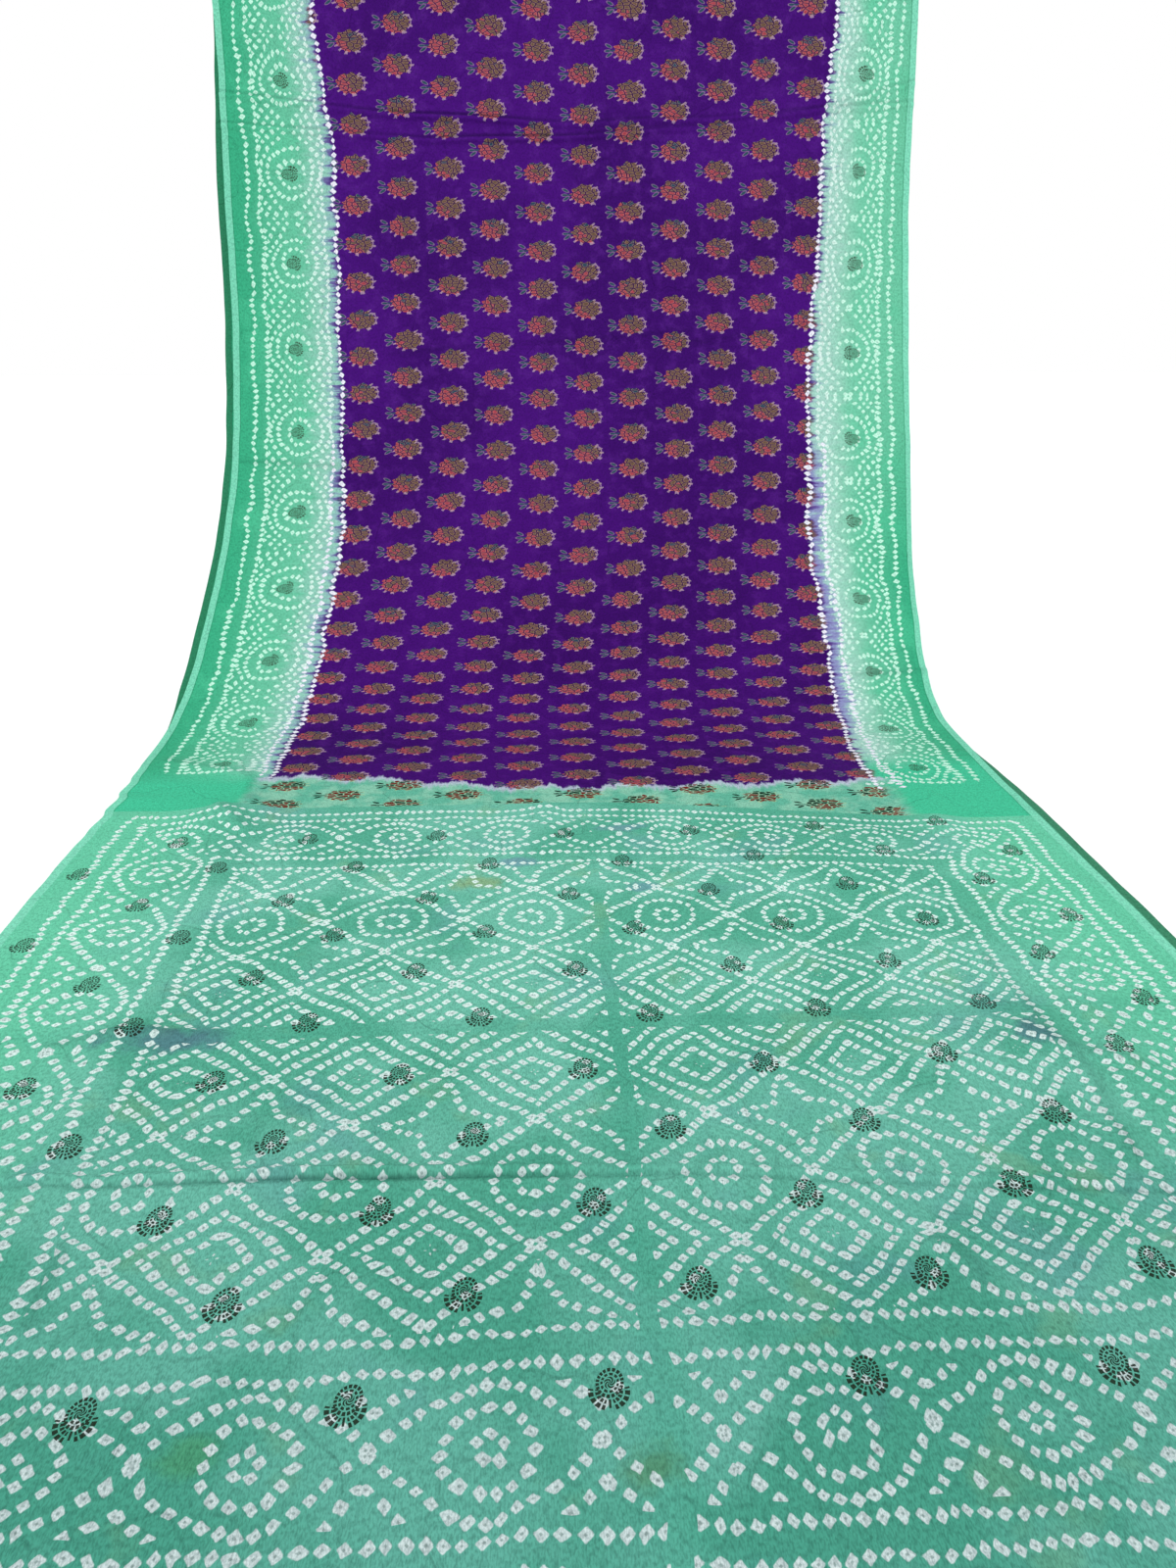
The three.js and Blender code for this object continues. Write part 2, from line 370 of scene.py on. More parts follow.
def cloth_sheet(name, place, columns, bands, seen_above=True):
    """A closed thin sheet over a grid of the cloth, on the points that place gives."""
    mesh = bmesh.new()
    cloth = mesh.loops.layers.uv.new("cloth")
    bake = mesh.loops.layers.uv.new("OFBake")
    rows = sum(band[2] for band in bands)
    bmesh.ops.create_grid(mesh, x_segments=columns, y_segments=rows, size=0.5)
    start, end = bands[0][0], bands[-1][1]
    across_of = mesh.verts.layers.float.new("across")
    down_of = mesh.verts.layers.float.new("down")
    part_of = mesh.verts.layers.float.new("part")
    crease_shade_of = mesh.verts.layers.float.new("crease_shade")
    for vert in mesh.verts:
        across = vert.co.x * 2 * HALF_WIDTH
        step = row_step(bands, (vert.co.y + 0.5) * rows)
        vert[across_of] = across
        vert[part_of] = (step - start) / (end - start)
        vert[down_of], vert.co = place(across, step)
        # Painted shade: how dark the pressed folds and creases are painted at each point.
        vert[crease_shade_of] = crease_shade(across, vert[down_of]) if vert[down_of] > 0 else 0.0
    mesh.normal_update()
    if sum((face.normal for face in mesh.faces), Vector()).z < 0:
        bmesh.ops.reverse_faces(mesh, faces=mesh.faces[:])
        mesh.normal_update()
    for vert in mesh.verts:
        vert.co = vert.co + vert.normal * CLOTH_THICKNESS / 2
    above = set(mesh.faces)
    made = bmesh.ops.solidify(mesh, geom=mesh.faces[:], thickness=CLOTH_THICKNESS)
    below = {item for item in made["geom"] if isinstance(item, bmesh.types.BMFace)}
    lower_verts = {item for item in made["geom"] if isinstance(item, bmesh.types.BMVert)}
    mesh.normal_update()
    for face in mesh.faces:
        face.smooth = True
        rim = face not in above and face not in below
        for loop in face.loops:
            vert = loop.vert
            loop[cloth].uv = vert[across_of], vert[down_of]
            seen = (vert in lower_verts) != seen_above
            loop[bake].uv = bake_place(vert[across_of], vert[part_of], seen, rim)
    for edge in mesh.edges:
        edge.smooth = edge.calc_face_angle(0.0) < 1.0
    data = bpy.data.meshes.new(name)
    mesh.to_mesh(data)
    mesh.free()
    piece = bpy.data.objects.new(name, data)
    bpy.context.collection.objects.link(piece)
    return piece


def srgb(red, green, blue):
    """A colour as the eye names it, 0 to 255, in Blender's linear light."""
    def linear(value):
        value /= 255
        return value / 12.92 if value <= 0.04045 else ((value + 0.055) / 1.055) ** 2.4
    return linear(red), linear(green), linear(blue), 1.0


class Value:
    """A number that varies over the cloth, for use in a Python expression."""

    def __init__(self, finish, socket):
        self.finish = finish
        self.socket = socket

    def maths(self, operation, *others):
        return self.finish.node("ShaderNodeMath", {"operation": operation}, dict(enumerate((self, *others))))

    def after(self, operation, other):
        return self.finish.node("ShaderNodeMath", {"operation": operation}, {0: other, 1: self})

    def __add__(self, other):
        return self.maths("ADD", other)

    def __radd__(self, other):
        return self.after("ADD", other)

    def __sub__(self, other):
        return self.maths("SUBTRACT", other)

    def __rsub__(self, other):
        return self.after("SUBTRACT", other)

    def __mul__(self, other):
        return self.maths("MULTIPLY", other)

    def __rmul__(self, other):
        return self.after("MULTIPLY", other)

    def __truediv__(self, other):
        return self.maths("DIVIDE", other)

    def __rtruediv__(self, other):
        return self.after("DIVIDE", other)

    def __pow__(self, other):
        return self.maths("POWER", other)

    def __neg__(self):
        return self.after("SUBTRACT", 0.0)

    def __abs__(self):
        return self.maths("ABSOLUTE")

    def __lt__(self, other):
        return self.maths("LESS_THAN", other)

    def __gt__(self, other):
        return self.maths("GREATER_THAN", other)


class Finish:
    """A material, and the one way in which its nodes are made."""

    def __init__(self, name, roughness):
        self.material = bpy.data.materials.new(name)
        self.material.use_nodes = True
        self.tree = self.material.node_tree
        self.shader = self.tree.nodes["Principled BSDF"]
        self.shader.inputs["Roughness"].default_value = roughness

    def node(self, kind, settings, inputs, output=0):
        made = self.tree.nodes.new(kind)
        for name, value in settings.items():
            setattr(made, name, value)
        for place, value in inputs.items():
            self.feed(made.inputs[place], value)
        return Value(self, made.outputs[output])

    def feed(self, socket, value):
        if isinstance(value, Value):
            self.tree.links.new(value.socket, socket)
        else:
            socket.default_value = value

    def cloth_map(self):
        """The place on the flat cloth, across and along, and both as one point."""
        point = self.node("ShaderNodeUVMap", {"uv_map": "cloth"}, {})
        parts = self.node("ShaderNodeSeparateXYZ", {}, {0: point})
        return parts, Value(self, parts.socket.node.outputs[1]), point

    def point_shift(self, point, by):
        """The same place moved, for a second noise that doesn't follow the first."""
        return self.node("ShaderNodeMapping", {}, {0: point, 1: (by, by, 0.0)})

    def noise(self, point, scale, detail=2.0, roughness=0.5):
        """Soft noise between 0 and 1."""
        inputs = {"Vector": point, "Scale": scale, "Detail": detail, "Roughness": roughness}
        return self.node("ShaderNodeTexNoise", {"noise_dimensions": "2D"}, inputs)

    def chance(self, across, along):
        """One fixed number from 0 to 1 for each whole cell."""
        place = self.node("ShaderNodeCombineXYZ", {}, {0: across, 1: along})
        return self.node("ShaderNodeTexWhiteNoise", {"noise_dimensions": "3D"}, {"Vector": place})

    def smooth(self, value, low, high):
        """0 below low, 1 above high, and soft between."""
        settings = {"interpolation_type": "SMOOTHSTEP"}
        return self.node("ShaderNodeMapRange", settings, {0: value, 1: low, 2: high})

    def dye(self, share, under, over):
        """One colour laid over another."""
        return self.node("ShaderNodeMix", {"data_type": "RGBA"}, {0: share, 6: under, 7: over}, output=2)

    def darken(self, share, colour, tone):
        """A colour multiplied by a darker tone."""
        settings = {"data_type": "RGBA", "blend_type": "MULTIPLY"}
        return self.node("ShaderNodeMix", settings, {0: share, 6: colour, 7: tone}, output=2)

    def stretched(self, point, across, along, turn=0.0):
        """The same place with each direction scaled, for a noise with a grain."""
        return self.node("ShaderNodeMapping", {}, {0: point, 2: (0.0, 0.0, turn), 3: (across, along, 1.0)})


def least(first, *others):
    for other in others:
        first = first.maths("MINIMUM", other)
    return first


def most(first, *others):
    for other in others:
        first = first.maths("MAXIMUM", other)
    return first


def hypot(x, y):
    return (x * x + y * y) ** 0.5


def nearest(value, pitch):
    """The middle of the nearest step."""
    return (value + pitch * 0.5).maths("SNAP", pitch)


# A tied dot is a small blunt diamond. Each line of dots gives the distance from its nearest dot's middle.
DOT_PITCH = 0.0099
DOT_REACH = 0.0043
CLEAR = 0.05  # added to that distance where no dots are tied


def diamond(across, along):
    across = abs(across)
    along = abs(along)
    return most(across + along, 1.14 * most(across, along))


def dots_along(across, along, at, pitch=DOT_PITCH):
    return diamond(across - at, along - nearest(along, pitch))


def dots_round(x, y, angle, radius, count):
    turn = nearest(angle, math.tau / count)
    return diamond(x - turn.maths("COSINE") * radius, y - turn.maths("SINE") * radius)


def wave_dots(x, y, half_period, opening, nested):
    """Waves that cross and open into pointed eyes, with wedges between them. x is folded to one side."""
    along = nearest(y, DOT_PITCH * 0.86)
    part = abs(along) / half_period
    reach = opening * (1 - part ** 1.6)
    dots = diamond(x - reach, y - along)
    for apart in nested:
        wedge = diamond(x - reach - apart, y - along)
        dots = least(dots, most(wedge, CLEAR * (x > opening)))
    return dots


def fold_to(value, period):
    """Offset from the middle of the nearest repeat."""
    return value - nearest(value, period)


# The white line between the border and the field, from the selvedge; the right border is narrower.
BORDER_REACH = 0.178
BORDER_LESS = 0.027


def medallion_along(v, right):
    """Offset along the cloth from the middle of the nearest medallion of a side border."""
    return fold_to(v - 0.147 + 0.018 * right, medallion_period(right))


def medallion_period(right):
    return 0.1332 + 0.0087 * right


def hang_border_dots(v, edge, right):
    """The dotted border along each side of the hang. right is 1 at the right edge, 0 at the left."""
    narrow = 1 - 0.15 * right
    lines = least(
        0.95 * dots_along(edge, v, 0.035 * narrow, 0.0104),
        dots_along(edge, v, 0.056 * narrow, 0.0098),
        1.20 * dots_along(edge, v, 0.160 * narrow, 0.0098) + CLEAR * (v > 0.70),
    )
    x = edge / narrow - 0.109
    y = medallion_along(v, right)
    angle = y.maths("ARCTAN2", x)
    inner = dots_round(x, y, angle, 0.0205, 13) + CLEAR * (abs(angle - 0.5) < 0.45)
    outer = dots_round(x, y, angle, 0.0365, 25) + CLEAR * (abs(angle + 0.9) < 0.30)
    waves = wave_dots(abs(x), y, medallion_period(right) * 0.5, 0.0500, [0.0165, 0.0310])
    return least(lines, 1.02 * inner, 1.02 * outer, 1.06 * waves)


def boundary_dots(edge, v, right):
    """The strong white line between border and field, doubled lower down."""
    at = BORDER_REACH - BORDER_LESS * right
    line = 0.95 * dots_along(edge, v, at, 0.0105)
    second = 1.05 * dots_along(edge, v, at - 0.0170 - 0.0060 * right, 0.0105) + CLEAR * (v < 0.70)
    return least(line, second)


# The frame of the decorated end: its lines and the middle of its eyes, inwards from the first line
FRAME_LINES = (0.0, 0.018, 0.111, 0.134)
FRAME_MIDDLE = 0.0645
EYE_PERIOD = 0.122


def frame_dots(across, along):
    lines = least(*[dots_along(across, along, at) for at in FRAME_LINES])
    x = across - FRAME_MIDDLE
    y = fold_to(along, EYE_PERIOD)
    angle = y.maths("ARCTAN2", x)
    waves = wave_dots(abs(x), y, EYE_PERIOD / 2, 0.037, [0.020])
    rings = least(dots_round(x, y, angle, 0.0075, 5), dots_round(x, y, angle, 0.0235, 15))
    return least(lines, waves, rings)


# Half the width and length of a cell of the lattice
CELL_ACROSS = 0.0677
CELL_ALONG = 0.058


def lattice_dots(w, h, near_end):
    """Diamond cells, each with a dotted figure: nested diamonds, stars or rings, row by row."""
    p = (w / CELL_ACROSS + h / CELL_ALONG) * 0.5
    q = (w / CELL_ACROSS - h / CELL_ALONG) * 0.5
    whole_p = nearest(p, 1.0)
    whole_q = nearest(q, 1.0)
    cell_p = p - whole_p
    cell_q = q - whole_q
    row = whole_p - whole_q
    ringed = row.maths("COMPARE", 3.0) * 1.0
    fourth = row.maths("COMPARE", 4.0)
    starred = most(row.maths("COMPARE", 2.0), row > 4.5, fourth * (1 - near_end))
    nested = 1 - most(ringed, starred)
    outer = most(abs(cell_p), abs(cell_q))
    inner = least(abs(cell_p), abs(cell_q))
    level = 0.5 - nearest(0.5 - outer, 0.168) * nested
    off = abs(outer - level)
    beside = abs(fold_to(inner - 0.05, 0.1))
    squares = 0.1257 * most(off, beside, 0.57 * (off + beside))
    x = (cell_p + cell_q) * CELL_ACROSS
    y = (cell_p - cell_q) * CELL_ALONG
    angle = y.maths("ARCTAN2", x)
    rings = least(dots_round(x, y, angle, 0.0305, 20), dots_round(x, y, angle, 0.0120, 8))
    long = most(abs(x), abs(y) * 1.08)
    short = least(abs(x), abs(y) * 1.08)
    step = nearest(long - 0.0145, 0.0094) + 0.0145
    star = diamond(short - most(0.0145 - 0.44 * (step - 0.0145), 0.0), long - step)
    star = star + CLEAR * (long > 0.049) + CLEAR * (long < 0.0092)
    return least(squares, rings + CLEAR * (1 - ringed), star + CLEAR * (1 - starred))


def block_egg(x, y):
    """The small dark print: an egg of dashes that leans right, on two fans of leaves."""
    lean_x = 0.955 * x + 0.296 * y
    lean_y = 0.955 * y - 0.296 * x + 0.0024
    reach = hypot(lean_x / 0.0068, lean_y / 0.0084)
    turn = lean_y.maths("ARCTAN2", lean_x) * (1 / math.tau)
    outer = (abs(reach - 1) < 0.14) * ((turn * 19).maths("FRACT") < 0.70)
    middle = (abs(reach - 0.66) < 0.10) * ((turn * 11 + 0.4 * reach).maths("FRACT") < 0.66)
    core = (reach < 0.46) * ((turn * 5 + reach * 4).maths("FRACT") < 0.60)
    side = abs(x)
    spread = hypot(side, y - 0.0030)
    fan_turn = (y - 0.0030).maths("ARCTAN2", side) * (1 / math.tau)
    fan = (spread > 0.0054) * (spread < 0.0116) * ((fan_turn * 17).maths("FRACT") < 0.72)
    fan = fan * (fan_turn > -0.035) * (fan_turn < 0.205) * (abs(spread - 0.0082) > 0.0005)
    stem = (side < 0.0007) * (abs(y - 0.0105) < 0.0026)
    return most(outer, middle, core, fan, stem)


# The flower sprigs of the field stand in columns, each second one half a step lower.
SPRIG_COLUMN = 0.0725
FIRST_COLUMN = 0.0125
SPRIG_ROW = 0.0585
FIRST_ROW = 0.0744


def sprig_place(finish, u, v):
    """The nearest sprig's own place: across, along and a number for each sprig."""
    bunched = v + 0.075 * finish.smooth(v, 0.97, 1.32)
    column = nearest(u - FIRST_COLUMN, SPRIG_COLUMN) / SPRIG_COLUMN
    half = column.maths("PINGPONG", 1.0)
    x = u - FIRST_COLUMN - column * SPRIG_COLUMN
    rows = bunched - FIRST_ROW - half * 0.0290 + 0.0024 * abs(column)
    row = nearest(rows, SPRIG_ROW)
    chance = finish.chance(column, row * 17.1)
    return x + 0.004 * (chance - 0.5), rows - row, chance


def booti(finish, u, v, point):
    """The flower sprig on its side: masks and the tone of its patches."""
    x, y, chance = sprig_place(finish, u, v)
    bloom_x = (x - 0.0046) / 0.0256
    bloom_y = y / 0.0180
    angle = bloom_y.maths("ARCTAN2", bloom_x)
    petals = (angle * 11 + chance * 6 + 2.2 * (angle * 2 + 1).maths("SINE")).maths("COSINE")
    uneven = finish.noise(point, 190.0, 2.0)
    reach = hypot(bloom_x, bloom_y) * (0.86 + 0.28 * uneven)
    body = reach < (0.84 + 0.07 * petals)
    tips = (petals > 0.50) * (reach > 0.80) * (reach < 1.02) * ((bloom_y + 0.8 * bloom_x) > -0.45)
    lobes = least(
        hypot((x + 0.0260) / 0.0044, (y + 0.0062 - 0.4 * (x + 0.0260)) / 0.0020),
        hypot((x + 0.0275) / 0.0044, (y - 0.0008) / 0.0017),
        hypot((x + 0.0250) / 0.0044, (y - 0.0060 + 0.5 * (x + 0.0250)) / 0.0021),
    )
    stem = (abs(y - 0.0005) < 0.0009) * (abs(x + 0.0205) < 0.0045)
    hook = (abs(hypot(x - 0.0205, (y + 0.0010) * 0.75) - 0.0070) < 0.0007) * ((x - 0.4 * y) > 0.0190)
    strokes = finish.stretched(point, 0.55, 1.0, 0.45)
    petal_cells = {"Vector": strokes, "Scale": 205.0}
    edges = {"voronoi_dimensions": "2D", "feature": "DISTANCE_TO_EDGE"}
    gaps = finish.node("ShaderNodeTexVoronoi", edges, petal_cells)
    cells = finish.node("ShaderNodeTexVoronoi", {"voronoi_dimensions": "2D"}, petal_cells, output=1)
    cell = finish.node("ShaderNodeSeparateColor", {}, {0: cells})
    return {
        "body": body, "tips": tips, "lobes": lobes, "stem": stem, "hook": hook, "gap": gaps,
        "cell": cell, "x": bloom_x, "y": bloom_y, "chance": chance,
    }


CORAL = srgb(168, 66, 74)
OLIVE = srgb(106, 82, 58)
TEAL = srgb(40, 70, 84)
LILAC = srgb(206, 172, 188)
LEAF = srgb(44, 74, 88)
INK = srgb(46, 10, 66)


def lay_booti_on_purple(finish, ground, sprig):
    lean = 0.7 * sprig["cell"] - 0.70 * sprig["x"] + 0.45 * sprig["y"] + 0.40 * sprig["chance"]
    colour = finish.dye(lean > 0.66, OLIVE, CORAL)
    teal = (sprig["cell"] - 0.60 * sprig["y"] - 0.30 * abs(sprig["x"])) > 0.98
    colour = finish.dye(teal, colour, TEAL)
    inner = (sprig["gap"] > 0.13) * (sprig["gap"] < 0.22) * 0.36
    colour = finish.dye(inner, colour, srgb(206, 166, 140))
    colour = finish.dye(finish.smooth(sprig["gap"], 0.16, 0.07) * 0.85, colour, INK)
    ground = finish.dye(sprig["body"] * 0.92, ground, colour)
    ground = finish.dye(most(sprig["tips"], sprig["hook"]) * 0.48, ground, LILAC)
    lobes = sprig["lobes"]
    ground = finish.dye((lobes < 1.35) * 0.28, ground, LILAC)
    return finish.dye(most(lobes < 0.95, sprig["stem"]), ground, LEAF)


def lay_booti_on_green(finish, ground, sprig):
    red = srgb(112, 26, 16)
    dark = srgb(16, 48, 34)
    cream = srgb(186, 200, 140)
    colour = finish.dye((sprig["cell"] - 0.5 * sprig["y"]) > 0.62, red, dark)
    strokes = sprig["body"] * finish.smooth(sprig["gap"], 0.07, 0.11)
    ground = finish.dye(sprig["body"] * 0.20, ground, cream)
    ground = finish.dye(sprig["tips"] * 0.35, ground, cream)
    ground = finish.dye(strokes, ground, colour)
    return finish.dye(most(sprig["lobes"] < 1.0, sprig["stem"]), ground, dark)


def lay_dots(finish, ground, distance, point, white, strength=1.0, speck=0.25):
    """Pale tied dots with soft uneven edges and a small dark speck in the middle of each."""
    uneven = finish.noise(point, 150.0, 2.0) - 0.5
    reach = DOT_REACH + 0.0024 * uneven
    dot = finish.smooth(distance - reach, 0.0005, -0.0006) * strength
    rough = finish.noise(point, 700.0, 1.0)
    tone = finish.darken(finish.smooth(rough, 0.60, 0.35) * 0.45, white, srgb(200, 208, 210))
    ground = finish.dye(dot, ground, tone)
    return finish.dye(finish.smooth(distance, 0.0015, 0.0006) * speck, ground, srgb(80, 110, 104))


def crepe_grain(finish, point):
    """Fine weave and crinkle: a tone and a height."""
    return finish.noise(finish.stretched(point, 1.0, 0.34), 980.0, 2.0, 0.6)


def finish_cloth(finish, colour, point):
    """Weave tone, painted shade in the pressed folds and creases, roughness and relief, the same on all of
    the cloth.
    """
    grain = crepe_grain(finish, point)
    colour = finish.darken(finish.smooth(grain, 0.62, 0.30) * 0.42, colour, srgb(150, 158, 158))
    mottle = finish.noise(point, 260.0, 1.0, 0.6)
    colour = finish.darken(finish.smooth(mottle, 0.54, 0.34) * 0.28, colour, srgb(170, 178, 180))
    # Painted shade darkens the cloth along the pressed folds and creases.
    crease_shading = finish.node("ShaderNodeAttribute", {"attribute_name": "crease_shade"}, {}, output=2)
    colour = finish.darken(crease_shading * 0.75, colour, srgb(120, 140, 142))
    finish.feed(finish.shader.inputs["Base Color"], colour)
    crinkle = finish.noise(finish.stretched(point, 0.6, 1.0), 75.0, 2.0, 0.55)
    wandering = finish.noise(finish.stretched(point, 1.0, 0.7, 0.5), 11.0, 2.0, 0.5)
    crumple = finish.smooth(abs(wandering - 0.5), 0.0, 0.022) - 1
    height = grain * 0.00010 + crinkle * 0.0012 + crumple * 0.0012
    relief_node = finish.node("ShaderNodeBump", {}, {"Strength": 0.75, "Distance": 1.0, "Height": height})
    finish.feed(finish.shader.inputs["Normal"], relief_node)
    finish.feed(finish.shader.inputs["Roughness"], 0.72 + 0.2 * grain)
    finish.feed(finish.shader.inputs["Specular IOR Level"], 0.06)


def warped(finish, u, v, point, reach=0.015):
    """Cloth places pulled about a little, as tying and washing leave them."""
    inputs = {"Vector": point, "Scale": 22.0, "Detail": 2.0}
    pull = finish.node("ShaderNodeTexNoise", {"noise_dimensions": "2D"}, inputs, output=1)
    parts = finish.node("ShaderNodeSeparateColor", {}, {0: pull})
    other = Value(finish, parts.socket.node.outputs[1])
    return u + (parts - 0.5) * reach, v + (other - 0.5) * reach


def green_ground(finish, point, v, edge_share):
    """Sea green with bluer and yellower patches, and painted shade that darkens it towards the near end;
    edge_share is the brighter green of the sides.
    """
    patch = finish.noise(point, 5.5, 3.0, 0.6)
    colour = finish.dye(finish.smooth(patch, 0.40, 0.62), srgb(84, 170, 143), srgb(110, 188, 165))
    blue = finish.smooth(finish.noise(finish.point_shift(point, 3.1), 7.5, 3.0, 0.6), 0.56, 0.74) * 0.40
    colour = finish.dye(blue, colour, srgb(100, 154, 160))
    yellow = finish.smooth(finish.noise(finish.point_shift(point, 7.7), 13.0, 3.0, 0.6), 0.60, 0.76) * 0.30
    colour = finish.dye(yellow, colour, srgb(132, 176, 128))
    colour = finish.dye(edge_share, colour, srgb(102, 200, 162))
    # Painted shade: the ground darkens towards the near end of the cloth, where the light is weaker.
    return finish.darken(finish.smooth(v, 1.75, 2.42), colour, srgb(208, 221, 226))


def border_reach(finish, v, right):
    """How far the side border reaches in from the selvedge, along the hang."""
    left_reach = (0.150 + 0.020 * finish.smooth(v, 0.05, 0.25) + 0.014 * finish.smooth(v, 0.60, 0.90)
                  - 0.006 * finish.smooth(v, 1.10, 1.35))
    right_reach = (0.132 + 0.013 * finish.smooth(v, 0.03, 0.22) + 0.027 * finish.smooth(v, 0.25, 0.68)
                   - 0.025 * finish.smooth(v, 0.84, 1.08) + 0.016 * finish.smooth(v, 1.18, 1.38))
    return left_reach + right * (right_reach - left_reach)


def border_ground(finish, point, v, share, streaks, right):
    """Green that pales inwards from the selvedge, then turns a streaky lavender grey by the purple."""
    colour = finish.dye(finish.smooth(share, 0.10, 0.62), srgb(56, 167, 126), srgb(100, 188, 154))
    pale_side = right * finish.smooth(share, 0.80, 0.40) * finish.smooth(v, 0.95, 0.55)
    colour = finish.dye(pale_side * 0.62, colour, srgb(124, 204, 172))
    tone = finish.noise(point, 11.0, 3.0, 0.6)
    colour = finish.dye(finish.smooth(tone, 0.50, 0.72) * 0.40, colour, srgb(80, 194, 150))
    colour = finish.dye(finish.smooth(share + 0.30 * streaks, 0.62, 0.88) * 0.85, colour, srgb(148, 198, 184))
    colour = finish.dye(right * finish.smooth(share, 0.50, 0.75) * 0.35, colour, srgb(190, 222, 214))
    lavender = finish.smooth(share + 0.55 * streaks, 0.87 + 0.05 * right, 0.99) * (0.62 - 0.20 * right)
    colour = finish.dye(lavender, colour, srgb(134, 152, 184))
    doubled = right * finish.smooth(v, 0.68, 0.76) * finish.smooth(v, 1.32, 1.20)
    doubled = doubled * finish.smooth(share + 0.40 * streaks, 0.84, 0.93)
    colour = finish.dye(doubled * 0.75, colour, srgb(128, 112, 186))
    return finish.dye(finish.smooth(share + 0.40 * streaks, 0.965, 1.0) * 0.80, colour, srgb(96, 70, 148))


def purple_field(finish, point, v):
    broad = finish.smooth(finish.noise(point, 3.4, 3.0), 0.36, 0.60)
    colour = finish.dye(broad, srgb(58, 8, 102), srgb(68, 12, 116))
    cloudy = finish.smooth(finish.noise(point, 42.0, 3.0, 0.65), 0.46, 0.74)
    colour = finish.dye(cloudy * 0.50, colour, srgb(84, 30, 132))
    # Painted shade: the purple darkens towards the foot of the hang, where it curves down to the floor.
    return finish.darken(finish.smooth(v, 0.45, 1.15), colour, srgb(240, 205, 238))


def green_band(finish, point):
    tone = finish.smooth(finish.noise(point, 30.0, 2.0, 0.6), 0.35, 0.65)
    return finish.dye(tone, srgb(96, 178, 152), srgb(134, 196, 170))


def lay_selvedge(finish, ground, edge, colour, strength):
    return finish.dye(finish.smooth(edge, 0.0105, 0.0095) * strength, ground, colour)


def border_end(right):
    """Where the dots of a side border stop, along the cloth."""
    return 1.372 + 0.083 * right


def lay_side_dots(finish, ground, point, v, across, along, dot_edge, share, right):
    """All the dots of the hang: the side borders, the row that closes them and the white line."""
    last_row = border_end(right)
    border = hang_border_dots(along, dot_edge, right) + CLEAR * (v > last_row)
    border = border + CLEAR * (dot_edge > 0.170) + CLEAR * (dot_edge < 0.020)
    closing = dots_along(v, across, last_row) + CLEAR * (dot_edge < 0.050) + CLEAR * (dot_edge > 0.165)
    white = finish.dye(finish.smooth(share, 0.55, 0.95), srgb(202, 250, 228), srgb(222, 242, 236))
    ground = lay_dots(finish, ground, least(border, closing), point, white, 0.92, 0.15)
    line = boundary_dots(dot_edge, along, right) + CLEAR * (v > last_row + 0.02)
    return lay_dots(finish, ground, line, point, srgb(240, 238, 250), 1.0, 0.15)


def lay_side_eggs(finish, ground, v, edge, dot_edge, right):
    """The small dark print in the middle of each medallion."""
    across = (dot_edge - 0.104 + 0.018 * right) * 1.05
    egg = block_egg(medallion_along(v, right), across)
    egg = egg * (v < border_end(right)) * (edge < 0.15)
    return finish.dye(egg * 0.92, ground, srgb(48, 54, 36))


def hang_finish(name, selvedge_colour):
    """The body of the sari: purple field, pale green borders, and the green band at its end."""
    finish = Finish(name, 0.75)
    u, v, point = finish.cloth_map()
    right = u > 0.0
    edge = HALF_WIDTH - abs(u)
    across, along = warped(finish, u, v, point, 0.017)
    flat_reach = BORDER_REACH - BORDER_LESS * right
    dot_edge = (HALF_WIDTH - abs(across)) * (flat_reach / border_reach(finish, v, right))
    share = dot_edge / flat_reach
    streaks = finish.noise(finish.stretched(point, 0.15, 1.0), 130.0, 3.0, 0.6) - 0.5
    fringed = finish.noise(finish.stretched(point, 1.0, 0.2), 110.0, 3.0, 0.6) - 0.5
    band_start = 1.443 - 0.052 * finish.smooth(u, 0.02, -0.36)
    sideways = dot_edge - flat_reach + 0.004 + 0.020 * streaks  # above 0 in the field and the band
    lengthways = band_start - v + 0.03 * fringed + 0.006 * (u * 62).maths("SINE")  # above 0 in the field

    ground = border_ground(finish, point, v, share, streaks, right)
    block = finish.smooth(v, 1.34, 1.42) * finish.smooth(edge, 0.19, 0.15)
    ground = finish.dye(block, ground, srgb(66, 190, 148))
    middle = finish.smooth(sideways, -0.02, 0.0)
    ground = finish.dye(finish.smooth(lengthways, 0.006, -0.006) * middle, ground, green_band(finish, point))
    fringe = finish.smooth(lengthways, -0.016, -0.002) * finish.smooth(lengthways, 0.008, 0.0)
    ground = finish.dye(fringe * 0.7 * middle, ground, srgb(196, 192, 220))
    field = finish.smooth(sideways, -0.004, 0.006) * finish.smooth(lengthways, -0.003, 0.005)
    ground = finish.dye(field, ground, purple_field(finish, point, v))

    sprig = booti(finish, u, v, point)
    on_purple = lay_booti_on_purple(finish, ground, sprig)
    on_green = lay_booti_on_green(finish, ground, sprig)
    printed = finish.dye(lengthways > 0.0, on_green, on_purple)
    ground = finish.dye(finish.smooth(sideways, -0.006, 0.004), ground, printed)
    ground = lay_side_dots(finish, ground, point, v, across, along, dot_edge, share, right)
    ground = lay_selvedge(finish, ground, edge, selvedge_colour, 0.80)
    # Painted shadow: a thin dark line along the inner edge of the pale selvedge band, where its edge shades
    # the green.
    band_edge_shadow = finish.smooth(abs(edge - 0.0107), 0.0012, 0.0004)
    ground = finish.dye(band_edge_shadow * 0.5, ground, srgb(34, 130, 92))
    ground = lay_side_eggs(finish, ground, v, edge, dot_edge, right)
    finish_cloth(finish, ground, point)
    return finish.material


